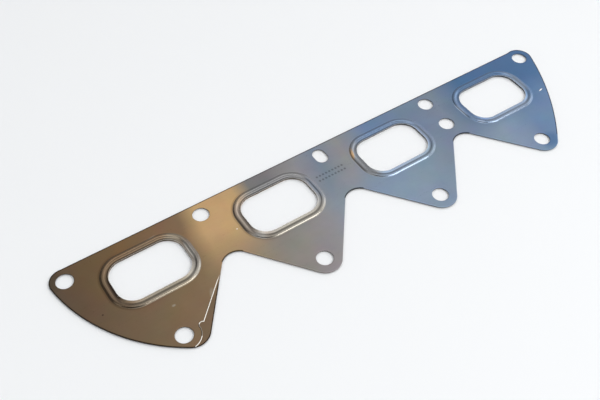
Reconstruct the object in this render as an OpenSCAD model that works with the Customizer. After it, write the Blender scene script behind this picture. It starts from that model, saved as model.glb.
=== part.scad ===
// Exhaust manifold gasket for a four-cylinder engine: two stamped stainless layers, laid flat.
// X runs along the row of ports, Y points to the straight edge, Z points from the cylinder head
// to the manifold. The origin is the middle of the port row, on the flat face that meets the head.

/* [Steel layers] */
// Thickness of each layer
sheet_t = 0.25; // [0.15:0.01:0.4]

/* [Ports] */
// Number of ports in the row
port_count = 4; // [2:2:6]
// Distance from one port to the next
port_pitch = 88; // [84:0.5:100]
// Width of a port opening, along the row
port_w = 46.6; // [34:0.2:48]
// Height of a port opening
port_h = 30; // [22:0.2:31]
// Radius of the corners of a port opening
port_corner_r = 11; // [4:0.2:11]

/* [Sealing bead] */
// Width of the flat land between the opening and the bead
land_w = 1.4; // [0.8:0.1:2]
// Width of the bead from foot to foot
bead_w = 3.8; // [3:0.1:4.4]
// Height of the bead above its sheet
bead_h = 0.6; // [0.3:0.05:0.9]

/* [Stud holes] */
// Diameter of the round stud holes
stud_hole_d = 10.4; // [8.4:0.1:11]
// Height of the upper row of holes above the middle of the ports
upper_row_y = 19.3; // [18:0.1:24]
// Depth of the lower row of holes below the middle of the ports
lower_row_y = 48; // [42:0.5:56]
// Distance that the first lower hole is set outwards, past its lobe's centre
first_hole_offset = 4.8; // [2:0.1:5.6]
// Width of the locating slot in the middle of the upper row
slot_w = 8.6; // [6.5:0.1:9.5]
// Height of the locating slot
slot_h = 11.8; // [10:0.1:12.6]
// Diameter of the single hole between the last two ports
middle_hole_d = 10.4; // [6:0.1:12]
// Distance of that hole below the middle of the ports
middle_hole_y = 2.8; // [0:0.1:4]

/* [Outline] */
// Distance of the straight edge above the upper row of holes
edge_above = 8.7; // [7.8:0.1:8.7]
// Radius of the corner round the first upper hole, which stands slightly proud of that edge
first_tip_r = 8.8; // [8.8:0.1:10.5]
// Radius of the corner round the last upper hole, which stands slightly proud of that edge
last_tip_r = 9.1; // [8.8:0.1:10.5]
// Radius of the lobes, round the lower holes
lobe_r = 10.4; // [9:0.1:12]
// Radius of the crooks between the lobes
crook_r = 10; // [6:0.5:12]
// Depth of the crooks' centres below the middle of the ports
crook_y = 25; // [23:0.5:30]
// Radius of the edge at the first port's end
first_end_r = 106; // [98:1:160]
// Radius of the edge at the last port's end
last_end_r = 215; // [150:1:400]

/* [Cut-back of the upper layer] */
// Distance down the first lobe's slope at which the upper layer starts to fall back
lap_start = 5.5; // [3:0.5:12]
// Radius of the upper layer's rim round the first lower hole
rim_r = 9.8; // [8.8:0.1:10.4]
// Radius of the relief nick where the cut-back edge meets the rim
nick_r = 2; // [1:0.1:2.4]

/* [Clinch] */
// Length of the pressed clinch that holds the layers together
clinch_l = 4.6; // [3:0.1:6]
// Width of the clinch
clinch_w = 1; // [0.8:0.1:1.6]
// Depth of the clinch, less than the sheet's thickness
clinch_depth = 0.12; // [0.05:0.01:0.14]
// Distance from the last port's centre to the clinch, along the row
clinch_x = 33.4; // [31.5:0.1:34.5]
// Distance of the clinch below the middle of the ports
clinch_y = 13.3; // [11:0.1:14.5]
// Angle between the clinch and the row, in degrees
clinch_turn = 14; // [0:1:30]

/* [Hidden] */
$fn = 96;

// Side gap between the pressed pip of one layer and its seat in the next
clinch_gap = 0.02;
// Arcs of the outline bite this far into what they run into, so that the two cross at one clear point
arc_bite = 0.02;
// The same for the nick and the rim of the cut-back
nick_bite = 0.2;
// How far a bead ring's section runs on into the flat sheet round it, to join with it
seam_w = 0.4;
// How far cutters run past the faces that they cut
cut_over = 1;
// Number of facets of the two long end arcs, where arcs are shown as facets
end_facets = 720;

first_port_x = -(port_count - 1) / 2 * port_pitch;
last_port_x = -first_port_x;
ports = [for (i = [0:port_count - 1]) [first_port_x + i * port_pitch, 0]];
lobes = [for (p = ports) [p.x, -lower_row_y]];
crooks = [for (i = [0:port_count - 2]) [first_port_x + (i + 0.5) * port_pitch, -crook_y]];
upper_holes = [for (i = [0:port_count]) [first_port_x + (i - 0.5) * port_pitch, upper_row_y]];
lower_holes = [for (i = [0:port_count - 1]) lobes[i] - [i == 0 ? first_hole_offset : 0, 0]];
slot_index = port_count / 2;
first_tip = upper_holes[0];
last_tip = upper_holes[port_count];
clinch_at = [last_port_x + clinch_x, -clinch_y];

// A point at radius r and angle a from c.
function polar(c, r, a) = c + r * [cos(a), sin(a)];
function angle_of(v) = atan2(v.y, v.x);

// Direction from circle a to the line that touches it and circle b on opposite sides.
// side is 1 or -1 and picks one of the two such lines.
function cross_tangent(ca, ra, cb, rb, side) =
    angle_of(cb - ca) + side * acos((ra + rb) / norm(cb - ca));

// Centre of the arc of radius r that holds both circles and touches each from inside.
function holding_centre(ca, ra, cb, rb, r, side) =
    let (d = norm(cb - ca),
         a = (pow(r - ra, 2) - pow(r - rb, 2) + d * d) / (2 * d),
         h = sqrt(pow(r - ra, 2) - a * a),
         u = (cb - ca) / d)
    ca + a * u + side * h * [-u.y, u.x];

// The slopes of the lobes, mirrored left and right of each crook, and the straight edge.
slope_left = cross_tangent(crooks[0], crook_r - arc_bite, lobes[0], lobe_r - arc_bite, -1);
slope_right = 180 - slope_left;
top_y = upper_row_y + edge_above;

first_end_c = holding_centre(
    first_tip, first_tip_r - arc_bite, lobes[0], lobe_r - arc_bite, first_end_r, 1);
last_end_c = holding_centre(
    last_tip, last_tip_r - arc_bite, lobes[port_count - 1], lobe_r - arc_bite, last_end_r, -1);

// Where the slopes touch the lobes and the crooks, just inside their discs. At the two ends of
// the row the lobe's centre stands in, because the end arc takes over there.
function lobe_left(i) =
    i == 0 ? lobes[i] : polar(lobes[i], lobe_r - arc_bite, slope_right + 180);
function lobe_right(i) =
    i == port_count - 1 ? lobes[i] : polar(lobes[i], lobe_r - arc_bite, slope_left + 180);
function crook_left(i) = polar(crooks[i], crook_r - arc_bite, slope_left);
function crook_right(i) = polar(crooks[i], crook_r - arc_bite, slope_right);

// The part of an end arc's disc between a tip and a lobe, as seen from the disc's centre.
// inner is a point inside the sheet, where the piece overlaps the rest.
module end_piece(c, r, tip, lobe, inner) {
    intersection() {
        translate(c) circle(r, $fn = end_facets);
        polygon([inner, tip, 2 * tip - c, 2 * lobe - c, lobe]);
    }
}

// Straight stretches first, then the discs that round them off are added or taken away.
module outline() {
    difference() {
        union() {
            polygon(concat(
                [[first_tip.x, top_y], first_tip],
                [for (i = [0:port_count - 1]) each concat(
                    [lobe_left(i), lobe_right(i)],
                    i < port_count - 1 ? [crook_left(i), crook_right(i)] : [])],
                [last_tip, [last_tip.x, top_y]]));
            end_piece(first_end_c, first_end_r, first_tip, lobes[0], ports[0]);
            end_piece(last_end_c, last_end_r, last_tip, lobes[port_count - 1], ports[port_count - 1]);
            translate(first_tip) circle(first_tip_r);
            translate(last_tip) circle(last_tip_r);
            for (p = lobes) translate(p) circle(lobe_r);
        }
        for (p = crooks) translate(p) circle(crook_r);
    }
}

// What is cut from the upper layer at the first lobe, so that the lower layer shows beyond it:
// a straight edge down to a relief nick, and a round rim from there.
module cut_back() {
    hole = lower_holes[0];
    nick = hole + [rim_r + nick_r - nick_bite, 0];
    start = crook_left(0) - lap_start * [cos(slope_left - 90), sin(slope_left - 90)];
    beyond = start + cut_over * (start - nick) / norm(start - nick);
    low = -lower_row_y - lobe_r - cut_over;
    difference() {
        polygon([beyond, nick, hole, [hole.x, low], [crooks[0].x, low], crooks[0]]);
        translate(hole) circle(rim_r);
    }
    translate(nick) circle(nick_r);
}

// A slot with round ends, lying along X.
module obround(l, w) {
    square([l - w, w], center = true);
    for (s = [-1, 1]) translate([s * (l - w) / 2, 0]) circle(d = w);
}

module stud_holes() {
    for (i = [0:port_count])
        if (i != slot_index) translate(upper_holes[i]) circle(d = stud_hole_d);
    for (p = lower_holes) translate(p) circle(d = stud_hole_d);
    translate(upper_holes[slot_index]) rotate(90) obround(slot_h, slot_w);
    translate([last_port_x - port_pitch / 2, -middle_hole_y]) circle(d = middle_hole_d);
}

// A port opening grown outwards by g, with its corners as true arcs.
module port_window(g) {
    w = port_w + 2 * g;
    h = port_h + 2 * g;
    r = port_corner_r + g;
    square([w - 2 * r, h], center = true);
    square([w, h - 2 * r], center = true);
    for (sx = [-1, 1], sy = [-1, 1])
        translate([sx * (w / 2 - r), sy * (h / 2 - r)]) circle(r);
}

// The bead is three equal arcs, foot, crown and foot, that run into each other.
bead_turn = 2 * atan(bead_h / (bead_w / 2));
bead_arc_r = bead_w / 4 / sin(bead_turn);
ring_w = land_w + bead_w;

// A bend of the sheet round c, from direction a to direction b.
module bend(c, a, b) {
    reach = 2 * bead_arc_r;
    intersection() {
        difference() {
            translate(c) circle(bead_arc_r + sheet_t / 2);
            translate(c) circle(bead_arc_r - sheet_t / 2);
        }
        polygon([c, polar(c, reach, a), polar(c, reach, (a + b) / 2), polar(c, reach, b)]);
    }
}

// Section through land, bead and seam: X runs outwards from the opening's edge, Y is the height.
module ring_section() {
    middle = sheet_t / 2;
    square([land_w, sheet_t]);
    bend([land_w, middle + bead_arc_r], -90, -90 + bead_turn);
    bend([land_w + bead_w / 2, middle + bead_h - bead_arc_r], 90 - bead_turn, 90 + bead_turn);
    bend([ring_w, middle + bead_arc_r], -90 - bead_turn, -90);
    translate([ring_w, 0]) square([seam_w, sheet_t]);
}

// One straight side of the ring, from x = 0 outwards, running along Y.
module ring_side(l) {
    translate([0, l / 2, 0]) rotate([90, 0, 0]) linear_extrude(l) ring_section();
}

// Land and bead round one opening: a straight side and a revolved corner for each quarter turn.
module bead_ring() {
    flat = [port_w / 2 - port_corner_r, port_h / 2 - port_corner_r];
    for (q = [0:3]) {
        along = flat[q % 2];
        across = flat[(q + 1) % 2];
        rotate(90 * q) translate([along + port_corner_r, 0, 0]) ring_side(2 * across);
        rotate(90 * q) translate([along, across, 0]) rotate_extrude(angle = 90)
            translate([port_corner_r, 0]) ring_section();
    }
}

// A pip half sheared out of the sheet: a seat pressed into this face, a pip on the other.
module clinch_seat() {
    translate([0, 0, sheet_t - clinch_depth]) linear_extrude(clinch_depth + cut_over)
        obround(clinch_l, clinch_w);
}

module clinch_pip() {
    translate([0, 0, -clinch_depth]) linear_extrude(clinch_depth)
        obround(clinch_l - 2 * clinch_gap, clinch_w - 2 * clinch_gap);
}

module at_clinch() {
    translate(clinch_at) rotate(clinch_turn) children();
}

// One stamped layer on z = 0. Its beads rise from the top face, or hang from the lower one
// where beads_down is set. Its clinch is always pressed downwards.
module stamped_layer(beads_down, is_cut_back) {
    difference() {
        linear_extrude(sheet_t) difference() {
            outline();
            for (p = ports) translate(p) port_window(ring_w);
            stud_holes();
            if (is_cut_back) cut_back();
        }
        at_clinch() clinch_seat();
    }
    at_clinch() clinch_pip();
    for (p = ports) translate([p.x, p.y, beads_down ? sheet_t : 0])
        rotate([beads_down ? 180 : 0, 0, 0]) bead_ring();
}

module upper_layer() {
    color([0.60, 0.58, 0.56]) translate([0, 0, sheet_t]) stamped_layer(false, true);
}

module lower_layer() {
    color([0.46, 0.43, 0.41]) stamped_layer(true, false);
}

upper_layer();
lower_layer();
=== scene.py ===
import math

import bpy
from mathutils import Matrix, Vector


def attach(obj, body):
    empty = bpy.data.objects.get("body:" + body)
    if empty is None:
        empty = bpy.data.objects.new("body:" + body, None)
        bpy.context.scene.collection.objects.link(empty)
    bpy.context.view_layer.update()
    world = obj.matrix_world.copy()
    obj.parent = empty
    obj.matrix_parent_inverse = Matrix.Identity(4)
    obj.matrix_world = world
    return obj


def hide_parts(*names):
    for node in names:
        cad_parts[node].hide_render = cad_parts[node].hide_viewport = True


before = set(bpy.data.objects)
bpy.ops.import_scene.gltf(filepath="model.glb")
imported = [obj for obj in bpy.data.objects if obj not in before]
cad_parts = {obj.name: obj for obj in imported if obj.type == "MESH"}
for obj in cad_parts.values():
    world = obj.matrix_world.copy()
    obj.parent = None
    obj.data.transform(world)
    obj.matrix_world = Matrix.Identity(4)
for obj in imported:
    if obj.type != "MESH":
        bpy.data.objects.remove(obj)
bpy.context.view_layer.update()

# Lower layer. The sheet that lies on the cylinder head: cold-rolled stainless strip, 0.25 mm
# thick. It is blanked to its lobed outline with the ports and stud holes in one stroke, and the
# press then embosses a full bead round each port, which on this layer points down to the head.
mm = 0.001
sheet = 0.25 * mm
burnish = 0.03 * mm
band = 0.7 * mm
same_place = 0.002 * mm

# The sizes below are in millimetres, and so is every place that a function takes or gives.
near = 0.01
pitch = 88.0
port_x = [-1.5 * pitch, -0.5 * pitch, 0.5 * pitch, 1.5 * pitch]
port_half = (23.3, 15.0)
port_corner = 11.0
land = 1.4
lip_rise = 0.5
lip_width = 0.4
bead_width = 3.8
bead_height = 0.6
crest = 2.2
seam = 0.4

upper_row, single_row, crook_row, lower_row = 19.3, -2.8, -25.0, -48.0
first_shift = 4.8
first_hole = Vector((port_x[0] - first_shift, lower_row))
tips = [Vector((port_x[0] - pitch / 2, upper_row)), Vector((port_x[3] + pitch / 2, upper_row))]
lobes = [Vector((x, lower_row)) for x in port_x]
crooks = [Vector((x + pitch / 2, crook_row)) for x in port_x[:3]]
tip_r = (8.8, 9.1)
end_r = (106.0, 215.0)
lobe_r, crook_r = 10.4, 10.0
edge_above = 8.7
stud_r = 5.2
stud_holes = [Vector((x, upper_row)) for x in (-2 * pitch, -pitch, pitch, 2 * pitch)]
stud_holes += [first_hole] + lobes[1:] + [Vector((pitch, single_row))]
slot_r, slot_straight = 4.3, 1.6
clinch = Vector((port_x[3] + 33.4, -13.3))
clinch_turn, clinch_half, clinch_r = 14, 1.8, 0.5
clinch_lip, clinch_depth = 0.1, 0.12


def heading(start, end):
    """The direction from one place to another, in degrees."""
    return math.degrees(math.atan2(end.y - start.y, end.x - start.x))


def towards(start, angle, distance):
    """The place at that distance in that direction."""
    return start + distance * Vector((math.cos(math.radians(angle)), math.sin(math.radians(angle))))


def arc_centre(a, ra, b, rb, r, side):
    """Centre of the arc of radius r that lies round both circles and touches each."""
    d = (b - a).length
    along = ((r - ra) ** 2 - (r - rb) ** 2 + d * d) / (2 * d)
    across = math.sqrt((r - ra) ** 2 - along ** 2)
    u = (b - a) / d
    return a + along * u + side * across * Vector((-u.y, u.x))


def crossing(a, ra, b, rb, side):
    """One of the two points where two circles cross."""
    d = (b - a).length
    along = (ra * ra - rb * rb + d * d) / (2 * d)
    u = (b - a) / d
    return a + along * u + side * math.sqrt(ra * ra - along * along) * Vector((-u.y, u.x))


class Pen:
    """Draws one closed line into the mesh that is open in edit mode, in millimetres."""

    def __init__(self, start):
        bpy.ops.mesh.select_all(action="DESELECT")
        bpy.ops.mesh.primitive_plane_add(size=mm, location=(start.x * mm, start.y * mm, 0))
        bpy.ops.mesh.merge(type="CENTER")
        self.place = start

    def line(self, end):
        """Goes straight to the end, in equal pieces."""
        longest = 7
        pieces = math.ceil((end - self.place).length / longest)
        step = (end - self.place) * mm / pieces
        for _ in range(pieces):
            bpy.ops.mesh.extrude_vertices_move(
                TRANSFORM_OT_translate={"value": (step.x, step.y, 0)})
        self.place = end

    def arc(self, centre, end_angle, clockwise=False, step=3.0):
        """Goes round the centre until the point lies at that angle from it."""
        turn = (end_angle - heading(centre, self.place)) % 360
        if clockwise:
            turn -= 360
        steps = max(2, math.ceil(abs(turn) / step))
        bpy.ops.mesh.spin(
            steps=steps, angle=-math.radians(turn), axis=(0, 0, 1),
            center=(centre.x * mm, centre.y * mm, 0))
        self.place = towards(centre, end_angle, (self.place - centre).length)


gap = (lobes[0] - crooks[0]).length
lean = math.degrees(math.acos((crook_r + lobe_r) / gap))
slope = heading(crooks[0], lobes[0]) - lean + 360
first_end = arc_centre(tips[0], tip_r[0], lobes[0], lobe_r, end_r[0], 1)
last_end = arc_centre(tips[1], tip_r[1], lobes[3], lobe_r, end_r[1], -1)


def draw_first_lobe(pen):
    """The first lobe as it is on the lower layer, from the end arc to its slope."""
    pen.arc(lobes[0], slope + 180)


def draw_outline(first_lobe):
    """The edge of one sheet, anticlockwise from the last end of its straight edge."""
    top_edge = upper_row + edge_above
    reach = [math.sqrt(r ** 2 - (top_edge - upper_row) ** 2) for r in tip_r]
    pen = Pen(Vector((tips[1].x - reach[1], top_edge)))
    pen.line(Vector((tips[0].x + reach[0], top_edge)))
    pen.arc(tips[0], heading(first_end, tips[0]))
    pen.arc(first_end, heading(first_end, lobes[0]), step=0.75)
    first_lobe(pen)
    for i in range(3):
        pen.line(towards(crooks[i], slope, crook_r))
        pen.arc(crooks[i], 180 - slope, clockwise=True)
        pen.line(towards(lobes[i + 1], 360 - slope, lobe_r))
        if i < 2:
            pen.arc(lobes[i + 1], slope + 180)
    pen.arc(lobes[3], heading(last_end, lobes[3]))
    pen.arc(last_end, heading(last_end, tips[1]), step=0.4)
    pen.arc(tips[1], 180 - math.degrees(math.asin((top_edge - upper_row) / tip_r[1])))


def draw_holes():
    """The stud holes, and the slot that sets the gasket along the row."""
    for hole in stud_holes:
        bpy.ops.mesh.primitive_circle_add(
            vertices=72, radius=stud_r * mm, location=(hole.x * mm, hole.y * mm, 0))
    pen = Pen(Vector((slot_r, upper_row - slot_straight)))
    pen.line(Vector((slot_r, upper_row + slot_straight)))
    pen.arc(Vector((0, upper_row + slot_straight)), 180)
    pen.line(Vector((-slot_r, upper_row - slot_straight)))
    pen.arc(Vector((0, upper_row - slot_straight)), 0)


def draw_clinch():
    """The pressed dash that holds the layers together, as a line in the flat sheet."""
    up, back, down = clinch_turn + 90, clinch_turn + 180, clinch_turn + 270
    ends = [towards(clinch, clinch_turn, clinch_half), towards(clinch, back, clinch_half)]
    pen = Pen(towards(ends[1], down, clinch_r))
    pen.line(towards(ends[0], down, clinch_r))
    pen.arc(ends[0], up, step=15)
    pen.line(towards(ends[1], up, clinch_r))
    pen.arc(ends[1], down, step=15)


def new_mesh(name):
    """An empty mesh object, open in edit mode."""
    bpy.ops.object.select_all(action="DESELECT")
    bpy.ops.mesh.primitive_plane_add(size=mm)
    made = bpy.context.object
    made.name = made.data.name = name
    bpy.ops.object.mode_set(mode="EDIT")
    bpy.ops.mesh.delete(type="VERT")
    bpy.ops.mesh.select_mode(type="VERT")
    return made


def out_of_port(point):
    """How far a point lies out from the edge of the nearest port."""
    nearest = min(port_x, key=lambda x: abs(x - point.x))
    dx = max(abs(point.x - nearest) - (port_half[0] - port_corner), 0)
    dy = max(abs(point.y) - (port_half[1] - port_corner), 0)
    return math.hypot(dx, dy) - port_corner


def emboss_ring(name, beads_down):
    """Land, bead and a strip of flat round one port: a section swept once round the opening."""
    made = new_mesh(name)
    start_x = port_half[0]
    corner_x, corner_y = port_half[0] - port_corner, port_half[1] - port_corner
    bpy.ops.mesh.primitive_plane_add(
        size=mm, location=(start_x * mm, -corner_y * mm, lip_rise * mm))
    bpy.ops.mesh.merge(type="CENTER")
    for width in (lip_width, land - lip_width):
        drop = lip_rise * width / land
        bpy.ops.mesh.extrude_vertices_move(
            TRANSFORM_OT_translate={"value": (width * mm, 0, -drop * mm)})

    # The bead rises in two opposite bends, and falls in two tighter ones.
    foot, end = start_x + land, start_x + land + bead_width
    rise, fall = (2 * math.atan(bead_height / width) for width in (crest, bead_width - crest))
    rise_r = crest / 2 / math.sin(rise)
    fall_r = (bead_width - crest) / 2 / math.sin(fall)
    for x, z, bend in ((foot, rise_r, rise), (foot + crest, bead_height - rise_r, -rise),
                       (foot + crest, bead_height - fall_r, -fall), (end, fall_r, fall)):
        bpy.ops.mesh.spin(
            steps=6, angle=bend, axis=(0, 1, 0), center=(x * mm, -corner_y * mm, z * mm))
    bpy.ops.mesh.extrude_vertices_move(TRANSFORM_OT_translate={"value": (seam * mm, 0, 0)})

    # The section goes along each side of the port and round the corner that follows it.
    bpy.ops.mesh.select_all(action="SELECT")
    corners = [(1, 1), (-1, 1), (-1, -1), (1, -1)]
    sides = [(0, 2 * corner_y), (-2 * corner_x, 0), (0, -2 * corner_y), (2 * corner_x, 0)]
    for (sx, sy), (dx, dy) in zip(corners, sides):
        bpy.ops.mesh.extrude_edges_move(
            TRANSFORM_OT_translate={"value": (dx * mm, dy * mm, 0)})
        bpy.ops.mesh.spin(
            steps=24, angle=-math.radians(90), axis=(0, 0, 1),
            center=(sx * corner_x * mm, sy * corner_y * mm, 0))
    bpy.ops.mesh.select_all(action="SELECT")
    bpy.ops.mesh.remove_doubles(threshold=same_place)
    if beads_down:
        bpy.ops.transform.resize(value=(1, 1, -1), center_override=(0, 0, 0))
    bpy.ops.object.mode_set(mode="OBJECT")
    return made


def at_port(point):
    """Whether a point on a cut edge lies at a port."""
    return out_of_port(point) < near


def rim_at(point):
    """How dark the cut edge is there, partly oxide of the shear face and partly painted shade:
    none at the ports, faint at the stud holes and the front of the lobes.
    """
    if at_port(point):
        return 0.0
    rounds = [(hole, stud_r) for hole in stud_holes]
    rounds.append((Vector((0, upper_row)), slot_r + slot_straight))
    if any((point - middle).length < r + near for middle, r in rounds):
        return 0.12
    on_front = -105 < point.x < 144 and point.y < -18
    return 0.06 if on_front else 1.0


def left_slope_shade_at(point):
    """How much painted shade darkens a bead there: the outer slope left of the first two ports, on
    the side turned from the light. It starts 8 mm from the middle of the port and is full 12 mm
    further out."""
    on_slope = land + crest - near < out_of_port(point) < land + bead_width + seam + near
    left_of = min(port_x, key=lambda x: abs(x - point.x)) - point.x
    return float(on_slope and point.x < 0) * max(0.0, min(1.0, (left_of - 8) / 12))


def stamp_layer(name, first_lobe, beads_down, floor_z, edge_highlight_at=lambda point: 0.0):
    """One finished sheet, with its flat part's underside at floor_z."""
    ring = emboss_ring(name + "_ring", beads_down)
    rings = [ring]
    for _ in port_x[1:]:
        twin = ring.copy()
        twin.data = ring.data.copy()
        bpy.context.collection.objects.link(twin)
        rings.append(twin)
    for x, each in zip(port_x, rings):
        each.data.transform(Matrix.Translation((x * mm, 0, 0)))
    made = new_mesh(name)
    draw_outline(first_lobe)
    draw_holes()
    draw_clinch()
    bpy.ops.mesh.select_all(action="SELECT")
    bpy.ops.mesh.remove_doubles(threshold=same_place)
    bpy.ops.object.mode_set(mode="OBJECT")
    bpy.ops.object.select_all(action="DESELECT")
    for each in rings:
        each.select_set(True)
    made.select_set(True)
    bpy.context.view_layer.objects.active = made
    bpy.ops.object.join()

    # The flat part is filled between the edge, the holes and the rings. It is turned aside for
    # that, because the fill can leave slivers between lines that run along an axis.
    def select_flat(items):
        for item in items:
            points = [made.data.vertices[v].co.xy / mm for v in item.vertices]
            item.select = min(map(out_of_port, points)) > land + bead_width + seam - near

    bpy.ops.object.mode_set(mode="EDIT")
    bpy.ops.mesh.select_mode(type="EDGE")
    bpy.ops.mesh.select_all(action="DESELECT")
    bpy.ops.object.mode_set(mode="OBJECT")
    select_flat(made.data.edges)
    bpy.ops.object.mode_set(mode="EDIT")
    aside = math.radians(17)
    bpy.ops.transform.rotate(value=aside, orient_axis="Z", center_override=(0, 0, 0))
    bpy.ops.mesh.fill(use_beauty=True)
    bpy.ops.transform.rotate(value=-aside, orient_axis="Z", center_override=(0, 0, 0))

    # The clinch is closed with a face of its own and pressed down, half sheared out.
    bpy.ops.mesh.select_all(action="DESELECT")
    bpy.ops.object.mode_set(mode="OBJECT")
    for edge in made.data.edges:
        points = [made.data.vertices[v].co.xy / mm for v in edge.vertices]
        edge.select = all((p - clinch).length < clinch_half + clinch_r + near for p in points)
    bpy.ops.object.mode_set(mode="EDIT")
    bpy.ops.mesh.edge_face_add()
    bpy.ops.mesh.inset(thickness=clinch_lip * mm)
    bpy.ops.transform.translate(value=(0, 0, -clinch_depth * mm))

    # A narrow band runs along every edge of the flat part, so that the rims fade inside it.
    bpy.ops.mesh.select_all(action="SELECT")
    bpy.ops.mesh.normals_make_consistent(inside=False)
    bpy.ops.mesh.select_mode(type="FACE")
    bpy.ops.mesh.select_all(action="DESELECT")
    bpy.ops.object.mode_set(mode="OBJECT")
    select_flat(made.data.polygons)
    bpy.ops.object.mode_set(mode="EDIT")
    bpy.ops.mesh.inset(thickness=band, use_boundary=True, use_even_offset=True)
    bpy.ops.mesh.select_all(action="SELECT")
    bpy.ops.mesh.region_to_loop()
    bpy.ops.object.mode_set(mode="OBJECT")
    if made.data.polygons[0].normal.z < 0:
        made.data.flip_normals()

    # The material reads what is stored at the points: the dark rim, partly oxide and partly painted
    # shade, the pressed bead, the painted highlight on cut edges and the painted shade on left
    # slopes.
    def store(attribute, value_at):
        """Stores a number at each point, from its place and whether it lies on a cut edge."""
        values = [float(value_at(v.co.xy / mm, v.select)) for v in made.data.vertices]
        made.data.attributes.new(attribute, "FLOAT", "POINT").data.foreach_set("value", values)

    store("rim", lambda point, cut: cut * rim_at(point))
    store("pressed", lambda point, cut: out_of_port(point) < land + bead_width - near)
    # Painted highlight along the cut-back edge, and a weaker painted reflection of the pale floor
    # on the port walls.
    store("bare", lambda point, cut: cut * (edge_highlight_at(point) or 0.4 * at_port(point)))
    store("halo", lambda point, cut: left_slope_shade_at(point))

    # The line of the sheet's middle gets its thickness, and the cut edges a slight burnish.
    thicken = made.modifiers.new("thickness", "SOLIDIFY")
    thicken.thickness = sheet
    thicken.offset = 0
    thicken.use_even_offset = True
    bpy.ops.object.modifier_apply(modifier=thicken.name)
    soften = made.modifiers.new("burnish", "BEVEL")
    soften.width = burnish
    soften.segments = 2
    soften.limit_method = "ANGLE"
    soften.angle_limit = math.radians(50)
    bpy.ops.object.modifier_apply(modifier=soften.name)
    made.data.transform(Matrix.Translation((0, 0, floor_z + sheet / 2)))
    bpy.ops.object.shade_smooth_by_angle(angle=math.radians(35))
    return made


class Wire:
    """A shader socket in a Python expression. Each operation on numbers adds its Math node."""

    def __init__(self, tree, socket):
        self.tree, self.socket = tree, socket

    def node(self, kind, settings=None, inputs=None, output=0):
        """Adds any other node: its settings first, then the values or links of its sockets."""
        made = self.tree.nodes.new(kind)
        for name, value in (settings or {}).items():
            if name == "stops":
                ramp = made.color_ramp.elements
                while len(ramp) < len(value):
                    ramp.new(0.5)
                for stop, (place, colour) in zip(ramp, value):
                    stop.position = place
                    stop.color = colour
            else:
                setattr(made, name, value)
        for name, value in (inputs or {}).items():
            if isinstance(value, Wire):
                self.tree.links.new(value.socket, made.inputs[name])
            else:
                made.inputs[name].default_value = value
        return Wire(self.tree, made.outputs[output])

    def math(self, operation, a, b=0.0):
        """Adds a Math node, also for what has no sign of its own."""
        return self.node("ShaderNodeMath", {"operation": operation}, {0: a, 1: b})

    def __add__(self, other):
        return self.math("ADD", self, other)

    def __radd__(self, other):
        return self.math("ADD", other, self)

    def __sub__(self, other):
        return self.math("SUBTRACT", self, other)

    def __rsub__(self, other):
        return self.math("SUBTRACT", other, self)

    def __mul__(self, other):
        return self.math("MULTIPLY", self, other)

    def __rmul__(self, other):
        return self.math("MULTIPLY", other, self)

    def step(self, low, high):
        """0 below low and 1 above high, with a smooth way between."""
        return self.node("ShaderNodeMapRange", {"interpolation_type": "SMOOTHSTEP"},
                         {"Value": self, "From Min": low, "From Max": high})

    def noise(self, scale, stretch=(1, 1, 1), detail=2.0):
        """Noise over a place, with features of about 1 / scale, centred on zero."""
        place = self.node("ShaderNodeMapping", {}, {"Vector": self, "Scale": stretch})
        value = self.node(
            "ShaderNodeTexNoise", {}, {"Vector": place, "Scale": scale, "Detail": detail})
        return value - 0.5


def tone(r, g, b):
    """A colour as it looks on a screen, turned to the linear values that a shader takes."""
    linear = [
        c / 255 / 12.92 if c < 10 else ((c / 255 + 0.055) / 1.055) ** 2.4 for c in (r, g, b)]
    return (*linear, 1)


def mix_tones(mask, a, b):
    """Colour a where the mask is 0 and b where it is 1."""
    return mask.node("ShaderNodeMix", {"data_type": "RGBA"}, {0: mask, 6: a, 7: b}, 2)


def darken(colour, factor):
    """Scales a colour by a number that changes over the surface."""
    return colour.node("ShaderNodeVectorMath", {"operation": "SCALE"}, {0: colour, "Scale": factor})


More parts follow.
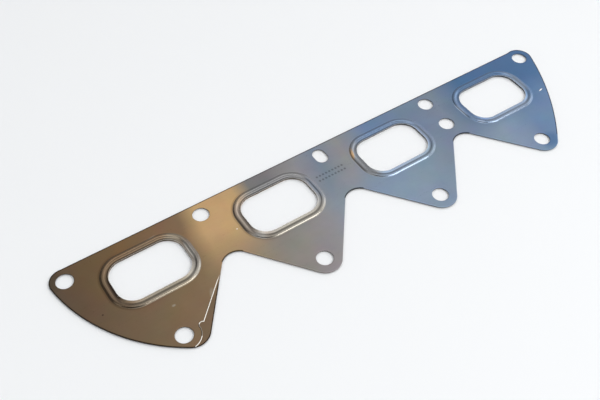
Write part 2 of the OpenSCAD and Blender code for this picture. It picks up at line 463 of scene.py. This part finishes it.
def rolled_steel(name, row_tints, lobe_tints, spots_and_glint=(), bead_tints_and_light=(), dimple_shade_rows=None):
    """Rolled stainless with heat tints along the row, each at its millimetre of X. Sheared rims are
    dark, partly oxide and partly painted shade, and some cut edges carry a painted highlight.
    Spots lie anywhere, one of them a painted glint, and bead tints keep to the beads, many of
    them painted highlights and painted shade."""
    made = bpy.data.materials.new(name)
    made.use_nodes = True
    shader = made.node_tree.nodes["Principled BSDF"]
    shader.inputs["Metallic"].default_value = 1.0
    place = Wire(made.node_tree, made.node_tree.nodes.new("ShaderNodeTexCoord").outputs["Object"])
    x, y = (place.node("ShaderNodeSeparateXYZ", {}, {0: place}, i) for i in range(2))

    def stored(attribute):
        return place.node("ShaderNodeAttribute", {"attribute_name": attribute}, {}, 2)

    # Two rows of tints, along the ports and along the lobes, blend into each other.
    span = 380
    cloud = place.noise(14)
    along = (x - 0.2 * y + 12 * mm * cloud) * (1 / (span * mm)) + 0.5
    row, lobe = (
        along.node(
            "ShaderNodeValToRGB",
            {"stops": [(at / span + 0.5, colour) for at, colour in tints]}, {0: along})
        for tints in (row_tints, lobe_tints))
    low = 1 - (y + 16 * mm * cloud).step(-30 * mm, 8 * mm)
    surface_colour = mix_tones(low, row, lobe)

    # Each patch of the oxide film leans to a slightly different colour.
    patches = place.node("ShaderNodeTexNoise", {}, {"Vector": place, "Scale": 60, "Detail": 3}, 1)
    patches = patches.node("ShaderNodeVectorMath", {"operation": "MULTIPLY_ADD"}, {
        0: patches, 1: (0.24, 0.24, 0.24), 2: (0.88, 0.88, 0.88)})
    surface_colour = surface_colour.node("ShaderNodeVectorMath", {"operation": "MULTIPLY"}, {0: surface_colour, 1: patches})

    # The rolling leaves grain and streaks along the strip, and the press wipes the beads smooth.
    grain = place.noise(9000, (0.06, 1, 1), 3)
    streaks = place.noise(600, (0.03, 1, 1))
    mottle = place.noise(90, detail=4)
    pressed = stored("pressed").step(0.2, 0.9)
    # The rim's darkening is partly oxide and partly painted shade along the edges; the edge
    # highlight is painted light on cut edges.
    rim = stored("rim").step(0.0, 0.35)
    bare = stored("bare").step(0.15, 0.65)
    grain = grain * (1 - 0.9 * pressed)

    # Each mark is a soft ellipse: place, half length and half width, turn, tone and strength.
    # Some marks are painted highlights and painted shade on the beads, and one is a painted glint
    # on the clinch.
    for on_bead, marks in ((False, spots_and_glint), (True, bead_tints_and_light)):
        for at_x, at_y, long, short, turn, colour, strength in marks:
            moved = place.node("ShaderNodeMapping", {"vector_type": "TEXTURE"}, {
                "Vector": place, "Location": (at_x * mm, at_y * mm, 0),
                "Rotation": (0, 0, math.radians(turn)), "Scale": (long * mm, short * mm, 1)})
            far = moved.node("ShaderNodeVectorMath", {"operation": "LENGTH"}, {0: moved}, 1)
            mask = (1 - far.step(0.4, 1.3)) * strength
            surface_colour = mix_tones(mask * pressed if on_bead else mask, surface_colour, colour)

    # Grain, streaks and mottle vary the tone at random; the rim is partly painted shade, and the
    # outer slopes left of the first two ports get painted shade.
    shade = 1 + 0.10 * grain + 0.04 * streaks + 0.12 * mottle - 0.8 * rim - 0.3 * stored("halo")
    if dimple_shade_rows:
        # Rows of small plain dimples, struck with a hand punch, drawn only as painted shade:
        # dark spots in the colour, with no dent in the surface.
        left, right, rows, apart = dimple_shade_rows
        soft = 0.1
        inside = x.step((left - soft) * mm, left * mm) * (
            1 - x.step(right * mm, (right + soft) * mm))
        u = x.math("FRACT", (x - left * mm) * (1 / (apart * mm))) - 0.5
        for row_y in rows:
            v = (y - row_y * mm) * (1 / (apart * mm))
            off_centre = u.math("SQRT", u * u + v * v)
            shade = shade - 0.45 * inside * (1 - off_centre.step(0.18, 0.42))
    # Cut edges are painted near white: a painted highlight along the cut-back, a weaker painted
    # reflection at the port walls.
    edge_highlight_tone = tone(236, 232, 224)
    surface_colour = mix_tones(bare, darken(surface_colour, shade), edge_highlight_tone)
    rough = 0.30 + 0.10 * grain + 0.05 * streaks + 0.2 * rim - 0.06 * pressed
    bump = grain.node(
        "ShaderNodeBump", {}, {"Strength": 0.12, "Distance": 0.02 * mm, "Height": grain})
    made.node_tree.links.new(surface_colour.socket, shader.inputs["Base Color"])
    made.node_tree.links.new(rough.socket, shader.inputs["Roughness"])
    made.node_tree.links.new(bump.socket, shader.inputs["Normal"])
    return made


lower = stamp_layer("gasket_lower", draw_first_lobe, beads_down=True, floor_z=0.0)

# The tints that heat leaves on stainless steel, as the film of oxide grows from straw to blue.
dark_bronze = tone(94, 80, 66)
tan = tone(128, 106, 82)
grey = tone(118, 118, 118)
slate = tone(118, 130, 146)
lower_tints = [(-185, dark_bronze), (-60, tan), (20, grey), (185, slate)]
lower.data.materials.append(rolled_steel("rolled_steel_lower", lower_tints, lower_tints))
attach(lower, "root")
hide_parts("lower_layer")

# Upper layer. The same blank in the same strip, with its beads up to the manifold. A second,
# smaller punch has cut it back at the first lobe, where the lower layer shows beyond it: a
# straight edge, a round relief nick, and a rim round the stud hole.
rim_r, nick_r, nick_bite = 9.8, 2.0, 0.2
edge_start = 5.5


def draw_cut_back(pen):
    """The first lobe as it is on the upper layer, from the end arc to its slope."""
    nick = first_hole + Vector((rim_r + nick_r - nick_bite, 0))
    start = towards(towards(crooks[0], slope, crook_r), slope - 90, -edge_start)
    pen.arc(lobes[0], heading(lobes[0], crossing(lobes[0], lobe_r, first_hole, rim_r, 1)))
    pen.arc(first_hole, heading(first_hole, crossing(first_hole, rim_r, nick, nick_r, -1)), step=5)
    pen.arc(nick, heading(nick, start), clockwise=True, step=16)
    pen.line(start)


def highlight_on_cut_back(point):
    """How strong the painted highlight on the cut-back edge is: most at the straight part, the nick
    and the very end.
    """
    from_hole = (point - first_hole).length
    on_edge = -135.4 < point.x < -100.8 and point.y < -22 and from_hole > stud_r + near
    weak_highlight = from_hole < rim_r + 0.4 and point.y > -54
    return on_edge * (0.4 if weak_highlight else 1.0)


upper = stamp_layer(
    "gasket_upper", draw_cut_back, beads_down=False, floor_z=sheet, edge_highlight_at=highlight_on_cut_back)

# The other tints, which show on this layer alone.
bronze = tone(116, 92, 64)
straw = tone(190, 156, 114)
dull_straw = tone(150, 128, 100)
warm_grey = tone(134, 128, 122)
pale_grey = tone(140, 139, 141)
pale_blue = tone(128, 145, 164)
blue = tone(104, 128, 158)
deep_blue = tone(75, 105, 142)
port_row_tints = [
    (-185, dark_bronze), (-145, bronze), (-106, tan), (-93, straw), (-66, straw), (-55, grey),
    (-44, grey), (-24, pale_grey), (-8, slate), (10, pale_grey), (34, blue), (92, slate),
    (117, deep_blue)]
lobe_row_tints = [
    (-185, dark_bronze), (-106, tan), (-84, dull_straw), (-54, warm_grey), (-20, pale_grey),
    (10, pale_blue), (48, pale_blue), (87, slate), (124, pale_blue), (146, blue)]

# Tones for the beads and round them. The light ones are mostly painted highlights on slopes and
# corners that would catch the light, though one also marks real wear on the flat sheet. The dull
# blue is painted shade on the top sides of the last two beads, and the soot tone marks both real
# soot on the sheet and painted shade along the left lands of the first two ports.
soot_and_shade = tone(56, 46, 42)
dull = tone(112, 106, 96)
wear_and_highlight = tone(156, 150, 136)
painted_highlight = tone(184, 180, 172)
blue_shade = tone(96, 112, 134)
pale_blue_highlight = tone(142, 153, 168)
bright_blue_highlight = tone(180, 192, 210)
white_speck_and_glint = tone(255, 253, 250)

# Spots and tints: x, y, half length, half width, turn, tone and strength of each. Among them are
# painted highlights and painted shade, as said above each list.
sheet_spots_and_glint = [
    (-75.5, -2, 0.5, 0.4, 0, white_speck_and_glint, 0.9),
    (-167.8, -12.6, 0.6, 0.5, 0, soot_and_shade, 0.9),
    (-132.5, -28.5, 1.2, 0.8, 0, wear_and_highlight, 0.6),
    (-111, -34, 4.5, 1.6, 70, wear_and_highlight, 0.4),
    (-122, 20, 4, 0.3, 8, wear_and_highlight, 0.6),
    (-181, 22, 7, 7, 0, soot_and_shade, 0.3),
    (178.5, 22.5, 8, 6.5, 0, deep_blue, 0.9),
    (136, -51.5, 8, 6.5, 0, deep_blue, 0.7),
    # A painted highlight: a white dash where the wall of the pressed clinch would glint.
    (clinch.x, clinch.y, 1.9, 0.45, clinch_turn, white_speck_and_glint, 0.95)]
# First port: the light marks along the bottom, at the bottom right corner and along the right side
# are painted highlights; the dark line on the left land is painted shade.
first_port_tints_and_light = [
    (-132, 0, 34, 24, 0, dull, 0.5),
    (-108, -6, 16, 10, 70, grey, 0.6),
    (-128, -18, 26, 6, 3, wear_and_highlight, 0.6),
    (-110, -14, 7, 7, 0, painted_highlight, 0.4),
    (-156.2, -2, 1.4, 10, 0, soot_and_shade, 0.7),
    (-110, 13, 6, 6, 0, wear_and_highlight, 0.5),
    (-132, -15.7, 16, 1.5, 0, dull, 0.6),
    (-106.4, 0, 1.3, 9, 0, painted_highlight, 0.8)]
# Second port: the light marks at both bottom corners, along the bottom and along the right side are
# painted highlights; the dark line on the left land and the grey over the top side are painted
# shade.
second_port_tints_and_light = [
    (-22, -14, 7, 7, 0, painted_highlight, 0.4),
    (-68, -15.5, 6, 5, 45, painted_highlight, 0.9),
    (-44, 0, 34, 24, 0, pale_grey, 0.6),
    (-68, 1, 20, 6, 84, grey, 0.6),
    (-68.2, -1, 12, 0.9, 88, soot_and_shade, 0.4),
    (-40, -18, 26, 6, 3, wear_and_highlight, 0.6),
    (-22, 14, 7, 7, 0, grey, 0.6),
    (-44, 17, 20, 3, 0, grey, 0.5),
    (-18.4, 0, 1.3, 9, 0, pale_blue_highlight, 0.8)]
# Third port: the light marks along the bottom, on the left side's outer slope and along the right
# side are painted highlights; the dull blue over the top side is painted shade.
third_port_tints_and_light = [
    (18, 9.2, 5.6, 1.3, 68, straw, 0.95),
    (44, 17, 28, 8, 0, blue_shade, 0.4),
    (48, -18, 26, 6, 3, pale_blue_highlight, 0.6),
    (14.7, -3, 9, 2.2, 90, painted_highlight, 0.5),
    (20, -6, 7, 13, 0, grey, 0.8),
    (22, 14, 6, 6, 0, grey, 0.5),
    (69.6, 0, 1.3, 9, 0, pale_blue_highlight, 0.7)]
# Last port: the light marks along the bottom, at the bottom left corner, on the left side's outer
# slope and along the right side are painted highlights; the dull blue over the top side is painted
# shade.
last_port_tints_and_light = [
    (130, 17, 28, 8, 0, blue_shade, 0.5),
    (156, 4, 16, 7, 80, slate, 0.6),
    (136, -18, 26, 6, 3, pale_blue_highlight, 0.6),
    (102.7, 2, 10, 2.4, 90, bright_blue_highlight, 0.9),
    (107.5, -15.5, 4, 3, 45, bright_blue_highlight, 0.4),
    (157.6, 0, 1.3, 9, 0, pale_blue_highlight, 0.7)]
upper.data.materials.append(rolled_steel(
    "rolled_steel_upper", port_row_tints, lobe_row_tints, sheet_spots_and_glint,
    first_port_tints_and_light + second_port_tints_and_light + third_port_tints_and_light + last_port_tints_and_light,
    dimple_shade_rows=(-13.5, 8.1, (5.4, 1.9), 2.4)))
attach(upper, "root")
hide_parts("upper_layer")

# Floor. A pale matt table top that the gasket lies on with its lower beads. It is so large that
# its far edge doesn't show from low down.
bpy.ops.object.select_all(action="DESELECT")
bpy.ops.mesh.primitive_plane_add(size=60, location=(0, 0, -bead_height * mm))
floor = bpy.context.object
floor.name = "table_top"
bpy.ops.object.transform_apply(location=True)
table_white = bpy.data.materials.new("table_white")
table_white.use_nodes = True
table_shader = table_white.node_tree.nodes["Principled BSDF"]
table_shader.inputs["Base Color"].default_value = (0.87, 0.885, 0.90, 1)
table_shader.inputs["Roughness"].default_value = 0.7
floor.data.materials.append(table_white)

# Light. A soft studio: a world that is even where the flat sheet mirrors it, with darker and
# brighter sides that the slopes of the beads mirror, and one lamp on the camera's right.
world = bpy.data.worlds.new("studio")
bpy.context.scene.world = world
world.use_nodes = True
sky = world.node_tree
direction = Wire(sky, sky.nodes.new("ShaderNodeTexCoord").outputs["Generated"])
east, north, up = (
    direction.node("ShaderNodeSeparateXYZ", {}, {0: direction}, i) for i in range(3))

# It falls to a quarter in the west, to half in the far north and to two thirds in the south.
glow = (0.6 + 0.4 * up.step(0.0, 0.4)) * (0.28 + 0.72 * east.step(-0.27, 0.0))
glow = glow * (1 - 0.5 * north.step(0.66, 0.86)) * (1 - 0.35 * (1 - north.step(-0.2, 0.0)))

# A strip across the sky, weaker in the east, and a patch in the east light the beads' slopes.
strip = north.step(-0.14, 0.0) * (1 - north.step(0.16, 0.3)) * (1 - 0.6 * east.step(0.35, 0.6))
patch = east.step(0.68, 0.8) * (1 - 0.6 * east.step(0.85, 0.97))
glow = glow + 1.3 * strip + 0.9 * patch

# The horizon is the same all round, because the sheet mirrors it from low down.
horizon = 1 - up.step(0.05, 0.3)
glow = glow * (1 - horizon) + 0.9 * horizon
sky.links.new(glow.socket, sky.nodes["Background"].inputs["Strength"])
sky.nodes["Background"].inputs["Color"].default_value = (1, 1, 1, 1)

bpy.ops.object.light_add(type="AREA", location=(0.6, -0.9, 1.2))
lamp = bpy.context.object
lamp.name = "soft_lamp"
lamp.data.shape = "RECTANGLE"
lamp.data.size, lamp.data.size_y = 1.1, 0.45
lamp.data.energy = 8
lamp.rotation_euler = (-lamp.location).to_track_quat("-Z", "Y").to_euler()

# Camera. It stands where the photograph's perspective of the ports and stud holes puts it, and
# looks along the direction that this perspective gives.
bpy.ops.object.camera_add()
camera = bpy.context.object
camera.name = "photo_camera"
stand = (-219.4 * mm, -264.7 * mm, 388.1 * mm)
right, above, back = (
    (0.8265, -0.5624, 0.0224), (0.4214, 0.6447, 0.6377), (-0.3731, -0.5177, 0.7699))
camera.matrix_world = Matrix([*zip(right, above, back, stand), (0, 0, 0, 1)])
camera.data.sensor_width = 36
camera.data.lens = 49.2
camera.data.clip_start = 0.01
bpy.context.scene.camera = camera
bpy.context.scene.view_settings.view_transform = "Standard"
